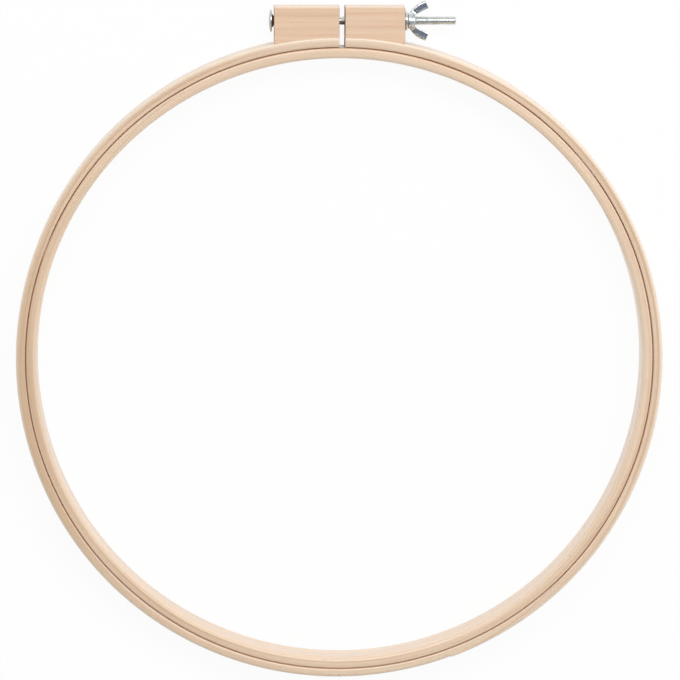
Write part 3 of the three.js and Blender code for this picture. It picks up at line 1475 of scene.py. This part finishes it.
@dataclass
class WingNut:
    """A forged wing nut: a hub with a rounded base, and two swept wings with flat faces and round edges."""

    axis: Vector
    low: Vector
    high: Vector
    bolt: ClampBolt
    base_radius: float = 4.7 * MM
    top_radius: float = 4.1 * MM
    hub_height: float = 4.1 * MM
    hub_edge: float = 0.6 * MM
    base_round: float = 0.8 * MM
    base_rise: float = 0.6 * MM
    wing_thickness: float = 2.4 * MM
    root_thickening: float = 2.2 * MM
    root_share: float = 0.22
    outer_root: tuple[float, float] = (3.9 * MM, 0.7 * MM)
    inner_root: tuple[float, float] = (2.8 * MM, 3.5 * MM)
    outer_round: float = 1.15 * MM
    inner_round: float = 0.35 * MM
    tip_width: float = 4.1 * MM
    tip_lean: float = 1.9 * MM
    outer_bow: float = 2.4 * MM
    inner_bow: float = 0.4 * MM
    panel_start: float = 0.1 * MM
    panel_margin: float = 0.55 * MM
    panel_slope: float = 0.3 * MM
    panel_depth: float = 0.06 * MM
    panel_root_share: float = 1 / 3
    panel_root_fade: float = 1 / 9
    panel_tip_fade: float = 1 / 12
    thread_gap: float = 0.06 * MM
    thread_run_out: float = 0.01
    mouth_depth: float = 0.5 * MM
    mouth_width: float = 0.35 * MM
    hole_past_ends: float = 1 * MM
    hole_widening: float = 0.2 * MM
    voxel: float = 0.13 * MM
    softening: float = 0.5
    softening_rounds: int = 5
    columns: int = 64
    round_steps: int = 7
    top_steps: int = 5
    wing_steps: int = 24

    def build(self) -> bpy.types.Object:
        """Builds the nut: its parts melt together as a forging, and the thread is cut after that.

        Returns:
            The piece.
        """
        sheet = bmesh.new()
        for part in (self._hub(), self._wing(1), self._wing(-1)):
            sheet.from_mesh(part)
        mesh = bpy.data.meshes.new("wing_nut_parts")
        sheet.to_mesh(mesh)
        sheet.free()
        blank = shown_object("wing_nut_blank", mesh)
        remesh = blank.modifiers.new("forge", "REMESH")
        remesh.mode = "VOXEL"
        remesh.voxel_size = self.voxel
        soften = blank.modifiers.new("soften", "SMOOTH")
        soften.factor = self.softening
        soften.iterations = self.softening_rounds
        forged = with_modifiers(blank)
        bpy.data.objects.remove(blank)
        return shown_object("forged_wing_nut", cut_away(forged, [self._threaded_hole()]))

    def _hub(self) -> bpy.types.Mesh:
        """Makes the hub: a rounded base, and a cone up to its softened top.

        Returns:
            The hub.
        """
        hub = TurnedMesh(self.axis, self.columns)
        hub.loop(self.low.x, self.base_radius - self.base_round)
        hub.cap()
        for turn in quarter(self.round_steps)[1:]:
            rise = self.base_rise * (1 - math.cos(turn))
            hub.loop(self.low.x + rise, self.base_radius - self.base_round * (1 - math.sin(turn)))
        for turn in quarter(self.top_steps):
            height = self.hub_height - self.hub_edge * (1 - math.sin(turn))
            hub.loop(self.low.x + height, self.top_radius - self.hub_edge * (1 - math.cos(turn)))
        hub.cap()
        return hub.mesh("hub")

    def _edges(self) -> tuple[list[Vector], list[Vector]]:
        """Lists points along one wing's outer and inner edge.

        Returns:
            Both edges' points, as distances out from the axis and heights above the base.
        """
        half_span = self.high.y - self.axis.y
        height = self.high.x - self.low.x
        outer_tip = Vector((half_span, height - self.tip_lean))
        inner_tip = Vector((half_span - self.tip_width, height))
        outer = self._bowed(Vector(self.outer_root), outer_tip, self.outer_bow)
        inner = self._bowed(Vector(self.inner_root), inner_tip, self.inner_bow)
        return outer, inner

    def _bowed(self, start: Vector, end: Vector, bow: float) -> list[Vector]:
        """Lists points on a curve that bows away from the straight line between two points.

        Args:
            start: the one point.
            end: the other point.
            bow: how far the curve's handle lies off the line.

        Returns:
            The curve's points.
        """
        across = (end - start).normalized()
        control = (start + end) / 2 + bow * Vector((across.y, -across.x))
        shares = [number / self.wing_steps for number in range(self.wing_steps + 1)]
        return [
            (1 - share) ** 2 * start + 2 * share * (1 - share) * control + share**2 * end
            for share in shares
        ]

    def _wing(self, direction: int) -> bpy.types.Mesh:
        """Makes one wing from sections between its two edges, round at the outer one.

        Args:
            direction: 1 for the wing toward +Y, -1 for the other.

        Returns:
            The wing.
        """
        points = []
        for number, (outer, inner) in enumerate(zip(*self._edges())):
            profile = self._wing_profile((inner - outer).length, number / self.wing_steps)
            toward = (inner - outer).normalized()
            for depth, level in profile:
                out, up = outer + depth * toward
                points.append((self.low.x + up, self.axis.y + direction * out, self.axis.z + level))
        columns = len(profile)
        faces = []
        for start in range(0, self.wing_steps * columns, columns):
            following = start + columns
            for column in range(columns):
                after = (column + 1) % columns
                faces.append((start + column, start + after, following + after, following + column))
        faces += [tuple(range(columns)), tuple(range(len(points) - columns, len(points)))]
        return mesh_of("wing", np.array(points), faces)

    def _wing_profile(self, width: float, share: float) -> list[tuple[float, float]]:
        """Works out one section: round outside, with a shallow panel in each face, and thicker at the root.

        Args:
            width: the section's width.
            share: its place along the wing, from 0 at the root to 1 at the tip.

        Returns:
            The outline as distances from the outer edge and levels from the middle.
        """
        thicker = self.root_thickening * max(0.0, 1 - share / self.root_share) ** 2
        half, corner = self.wing_thickness / 2 + thicker, self.inner_round
        from_root = (share - self.panel_root_share) / self.panel_root_fade
        from_tip = (1 - share) / self.panel_tip_fade
        sunk = self.panel_depth * min(1.0, max(0.0, from_root)) * min(1.0, from_tip)
        turns = quarter(self.round_steps)
        upper = [(self.outer_round * (1 - math.cos(turn)), half * math.sin(turn)) for turn in turns]
        start, end = self.outer_round + self.panel_start, width - self.panel_margin
        upper += [(start, half), (start + self.panel_slope, half - sunk)]
        upper += [(end - self.panel_slope, half - sunk), (end, half)]
        upper += [
            (width - corner * (1 - math.sin(turn)), half - corner * (1 - math.cos(turn))) for turn in turns
        ]
        return upper + [(depth, -level) for depth, level in reversed(upper[1:])]

    def _threaded_hole(self) -> bpy.types.Mesh:
        """Makes the threaded hole with its wide mouths as a cutter, in step with the bolt's thread.

        Returns:
            The cutter.
        """
        radius = self.bolt.thread.radius + self.thread_gap
        thread = replace(self.bolt.thread, radius=radius, run_out=self.thread_run_out)
        wide, past = radius + self.mouth_width, self.hole_past_ends
        first_turn = math.ceil((self.low.x + self.mouth_depth - self.bolt.thread_start) / thread.pitch)
        start = self.bolt.thread_start + first_turn * thread.pitch
        turns = math.floor((self.hub_height - 2 * self.mouth_depth) / thread.pitch)
        root = min(size for _, size in thread.profile())
        hole = TurnedMesh(self.axis, self.columns)
        hole.loop(self.low.x - past, wide)
        hole.cap()
        hole.loop(self.low.x, wide)
        hole.thread(thread, start, start + turns * thread.pitch, root, root)
        hole.loop(self.low.x + self.hub_height, wide)
        hole.loop(self.high.x + past, wide + self.hole_widening)
        hole.cap()
        return hole.mesh("threaded_hole")

    def place(self, finish: ZincPlate) -> bpy.types.Object:
        """Builds the nut, dresses it and lets it ride.

        Args:
            finish: its plating.

        Returns:
            The piece.
        """
        nut = self.build()
        dress(nut, finish)
        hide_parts("wing_nut")
        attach(nut, "wing_nut")
        return nut


@dataclass(frozen=True)
class SoftBox:
    """A large soft lamp that faces the hoop."""

    name: str
    direction: Vector
    width: float
    length: float
    level: float
    distance: float = 2.4

    def place(self, target: Vector) -> None:
        """Hangs the lamp.

        Args:
            target: what it faces.
        """
        lamp = bpy.data.lights.new(self.name, "AREA")
        lamp.shape = "RECTANGLE"
        lamp.size, lamp.size_y = self.width, self.length
        toward = self.direction.normalized()
        lamp.energy = self.level * math.pi**2 * self.distance**2 / toward.z
        holder = bpy.data.objects.new(self.name, lamp)
        holder.location = target + toward * self.distance
        holder.rotation_euler = toward.to_track_quat("Z", "Y").to_euler()
        bpy.context.scene.collection.objects.link(holder)


@dataclass
class Studio:
    """The white table, the soft light and the camera over the hoop."""

    target: Vector
    camera_place: Vector = Vector((-54.0, 369.15, 2542.1)) * MM
    camera_turn: tuple[float, float, float] = (-8.291, -1.215, 0.108)
    focal_pixels: float = 4494.6
    frame_pixels: int = 680
    sensor: float = 36.0
    table_size: float = 24.0
    table_colour: Colour = (0.93, 0.93, 0.93)
    table_glow: float = 0.94
    table_roughness: float = 0.9
    table_shine: float = 0.1
    bright_side: tuple[float, float, float] = (0.3, 0.95, 0.0)
    side_reach: float = 0.8
    walls: Span = (0.62, 0.74)
    ceiling: Colour = (0.12, 0.135, 0.185)
    ceiling_rise: Span = (0.55, 0.94)
    far_clip: float = 100.0

    def place(self) -> None:
        """Sets up the table, the world, the lamps and the camera."""
        self._table()
        self._world()
        for lamp in self._lamps():
            lamp.place(self.target)
        self._camera()

    def _table(self) -> None:
        """Lays the white table, which keeps a part of the hoop's shadow."""
        half = self.table_size / 2
        mesh = bpy.data.meshes.new("table")
        corners = [(-half, -half, 0), (half, -half, 0), (half, half, 0), (-half, half, 0)]
        mesh.from_pydata(corners, [], [(0, 1, 2, 3)])
        table = bpy.data.objects.new("table", mesh)
        bpy.context.scene.collection.objects.link(table)
        sheet = ShaderSheet("white_table")
        sheet.set("Base Color", solid_colour(self.table_colour))
        sheet.set("Roughness", self.table_roughness)
        sheet.set("Specular IOR Level", self.table_shine)
        path = sheet.node("LightPath", {}).outputs
        seen = sheet.math("MAXIMUM", path["Is Camera Ray"], path["Is Glossy Ray"])
        seen = sheet.math("MAXIMUM", seen, path["Is Transmission Ray"])
        glow = sheet.node("Emission", {"Color": WHITE, "Strength": 1.0}).outputs[0]
        share = sheet.math("MULTIPLY", seen, self.table_glow)
        mixed = sheet.node("MixShader", {0: share, 1: sheet.shader.outputs[0], 2: glow}).outputs[0]
        sheet.tree.links.new(mixed, sheet.tree.nodes["Material Output"].inputs["Surface"])
        mesh.materials.append(sheet.material)

    def _world(self) -> None:
        """Makes the room: pale walls, brighter on one side, and a dim ceiling."""
        world = bpy.data.worlds.new("studio")
        world.use_nodes = True
        bpy.context.scene.world = world
        sheet = NodeSheet(world.node_tree)
        way = sheet.node("TexCoord", {}).outputs["Generated"]
        toward = sheet.node("VectorMath", {0: way, 1: self.bright_side}, operation="DOT_PRODUCT")
        wall = sheet.span(toward.outputs["Value"], -self.side_reach, self.side_reach, *self.walls)
        overhead = sheet.span(sheet.parts(way)[2], *self.ceiling_rise)
        background = sheet.tree.nodes["Background"].inputs
        sheet.tree.links.new(sheet.blend(overhead, wall, self.ceiling), background["Color"])
        background["Strength"].default_value = 1.0

    @staticmethod
    def _lamps() -> list[SoftBox]:
        """Lists the lamps: the main one over the clamp's side, and a weaker one on the right.

        Returns:
            The lamps.
        """
        main = SoftBox("main_soft_box", Vector((0.1, 0.52, 0.86)), width=2.4, length=0.9, level=0.53)
        right = SoftBox("right_soft_box", Vector((0.7, 0.05, 0.7)), width=1.6, length=1.4, level=0.08)
        return [main, right]

    def _camera(self) -> None:
        """Sets the camera where the picture was taken from."""
        data = bpy.data.cameras.new("camera")
        data.sensor_width = self.sensor
        data.lens = self.focal_pixels * self.sensor / self.frame_pixels
        data.clip_end = self.far_clip
        camera = bpy.data.objects.new("camera", data)
        camera.location = self.camera_place
        camera.rotation_euler = [math.radians(turn) for turn in self.camera_turn]
        bpy.context.scene.collection.objects.link(camera)
        bpy.context.scene.camera = camera


@dataclass
class Hoop:
    """The whole hoop, put together from its sub-assemblies."""

    layout: Layout = field(default_factory=Layout.from_frame)
    inner_ring_wall: float = 6.0 * MM
    outer_ring_wall: float = 5.57 * MM
    inner_joint_angle: float = math.radians(118)
    outer_joint_angle: float = math.radians(290.5)
    left_bore_radius: float = 2.5 * MM
    right_bore_radius: float = 3.6 * MM
    # Painted shade for the ring edges beside the dark groove between the two rings.
    groove_shade: Colour = linear(178, 104, 62)
    groove_shade_reach: float = 0.65 * MM
    groove_shade_strength: float = 0.6
    # A painted cream highlight, for rounded edges that face the light and for the ring's stretch under the
    # clamp.
    highlight_cream: Colour = linear(249, 234, 214)

    def place(self) -> list[bpy.types.Object]:
        """Builds every piece in the order in which the hoop is put together.

        Returns:
            The pieces.
        """
        return [
            self._inner_ring(),
            self._outer_ring(),
            *(self._block(side) for side in Side),
            *self._screw(),
        ]

    @property
    def bolt(self) -> ClampBolt:
        """The bolt, which the blocks and the nut are made to fit."""
        return ClampBolt(self.layout.bolt_axis, self.layout.bolt_start, self.layout.bolt_end)

    def _inner_ring(self) -> bpy.types.Object:
        """Builds the inner ring, with painted shade on its outer edges beside the groove between the rings,
        and a painted highlight on its inner edges.

        Returns:
            The piece.
        """
        ring = InnerRing(
            name="bent_inner_ring",
            axis=self.layout.ring_axis,
            inner_radius=self.layout.inner_ring_radius - self.inner_ring_wall,
            wall=self.inner_ring_wall,
            depth=self.layout.depth,
            joint_angle=self.inner_joint_angle,
        )
        tan = ToneAndHighlightStretch(ring.length_to(math.radians(50)), reach=130 * MM, strength=0.15, colour=Beech.tan)
        # A painted highlight along the inner ring's inner edges.
        inner_edge_highlight = PaintedEdgeLight(0.0, ring.depth, reach=3 * MM, strength=0.18, colour=self.highlight_cream)
        wood = self._strip_wood(
            ring,
            name="inner_ring_beech",
            pith_across=-95 * MM,
            pith_up=-30 * MM,
            streaks=0.5,
            toned_stretches=(tan,),
            toned_edges=(inner_edge_highlight, self._groove_shade_edge(ring, ring.wall)),
        )
        return ring.place(wood)

    def _outer_ring(self) -> bpy.types.Object:
        """Builds the outer ring, with painted highlights on its outer edges and under the clamp, and painted
        shade on its inner edges beside the groove between the rings.

        Returns:
            The piece.
        """
        ring = OuterRing(
            name="bent_outer_ring",
            axis=self.layout.ring_axis,
            inner_radius=self.layout.outer_ring_radius - self.outer_ring_wall,
            wall=self.outer_ring_wall,
            depth=self.layout.depth,
            joint_angle=self.outer_joint_angle,
            inside_edge_radius=1.2 * MM,
            outside_edge_radius=2.0 * MM,
            split_left=self.layout.blocks[Side.LEFT][1].x,
            split_right=self.layout.blocks[Side.RIGHT][0].x,
        )
        bottom = ring.length_to(BOTTOM - ring.joint_angle + TURN)
        knot = Blemish(along=bottom, across=0.75 * ring.wall, height=ring.depth)
        tan = ToneAndHighlightStretch(ring.length_to(math.radians(262)), reach=150 * MM, strength=0.6, colour=Beech.tan)
        # A painted highlight on the outer ring's stretch under the clamp.
        clamp_highlight = ToneAndHighlightStretch(
            ring.length_to(math.radians(159.5)), reach=95 * MM, strength=0.22, colour=self.highlight_cream
        )
        # A painted highlight along the outer ring's outer edges, where they catch the lamp.
        outer_edge_highlight = PaintedEdgeLight(ring.wall, ring.depth, reach=2 * MM, strength=0.75, colour=self.highlight_cream)
        wood = self._strip_wood(
            ring,
            name="outer_ring_beech",
            pith_across=110 * MM,
            pith_up=-38 * MM,
            streaks=0.75,
            tan=linear(207, 174, 141),
            cream=linear(230, 212, 191),
            blemish=knot,
            toned_stretches=(tan, clamp_highlight),
            toned_edges=(outer_edge_highlight, self._groove_shade_edge(ring, 0.0)),
        )
        return ring.place(wood)

    @staticmethod
    def _strip_wood(ring: BentStrip, **details: object) -> Beech:
        """Chooses a ring's wood, which is paler and more lively than the blocks'.

        Args:
            ring: the ring.
            details: what is its own, as the wood's fields.

        Returns:
            The wood.
        """
        return Beech(
            early=linear(240, 214, 184),
            late=linear(225, 190, 160),
            growth_spacing=2.0 * MM,
            growth_strength=0.5,
            polish=0.48,
            joint=ring.glued_joint,
            **details,
        )

    def _groove_shade_edge(self, ring: BentStrip, across: float) -> PaintedEdgeLight:
        """Makes the painted shade on a ring's edges beside the dark groove between the rings, at a place
        across the wall.
        """
        return PaintedEdgeLight(across, ring.depth, self.groove_shade_reach, self.groove_shade_strength, self.groove_shade)

    def _block(self, side: Side) -> bpy.types.Object:
        """Builds one clamp block.

        Args:
            side: the block's side of the split.

        Returns:
            The piece.
        """
        on_left = side is Side.LEFT
        block = ClampBlock(
            side=side,
            low=self.layout.blocks[side][0],
            high=self.layout.blocks[side][1],
            ring_axis=self.layout.ring_axis,
            ring_radius=self.layout.outer_ring_radius,
            bolt_axis=self.layout.bolt_axis,
            bore_radius=self.left_bore_radius if on_left else self.right_bore_radius,
            head_seat=self.bolt.head_seat,
        )
        wood = Beech(
            name=f"{side.name.lower()}_block_beech",
            pith_across=(120 if on_left else 128) * MM,
            pith_up=-45 * MM,
            wander=3 * MM,
        )
        return block.place(wood)

    def _screw(self) -> list[bpy.types.Object]:
        """Builds the bolt, the washer and the wing nut.

        Returns:
            The pieces.
        """
        plate = ZincPlate("bolt_zinc", linear(230, 234, 231), roughness=(0.25, 0.38), grit=0.004 * MM)
        forged = ZincPlate(
            "nut_zinc",
            linear(232, 238, 241),
            roughness=(0.19, 0.32),
            grit=0.012 * MM,
            mottle=0.42,
            mottle_size=1.6 * MM,
        )
        washer = Washer(self.layout.bolt_axis, *self.layout.washer)
        nut = WingNut(self.layout.bolt_axis, *self.layout.nut, self.bolt)
        return [self.bolt.place(plate), washer.place(plate), nut.place(forged)]


def write_sizes() -> None:
    """Updates the scene's view layer."""
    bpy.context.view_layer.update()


def main() -> None:
    """Builds the hoop and its studio, and reports each piece."""
    logging.basicConfig(level=logging.INFO, format="%(name)s: %(message)s")
    bpy.context.scene.view_settings.view_transform = "Standard"
    pieces = Hoop().place()
    Studio(target=Vector((0, 0, 0))).place()
    for piece in pieces:
        LOG.info("%s: %d points, %d faces", piece.name, len(piece.data.vertices), len(piece.data.polygons))
    write_sizes()


if __name__ == "__main__":
    main()
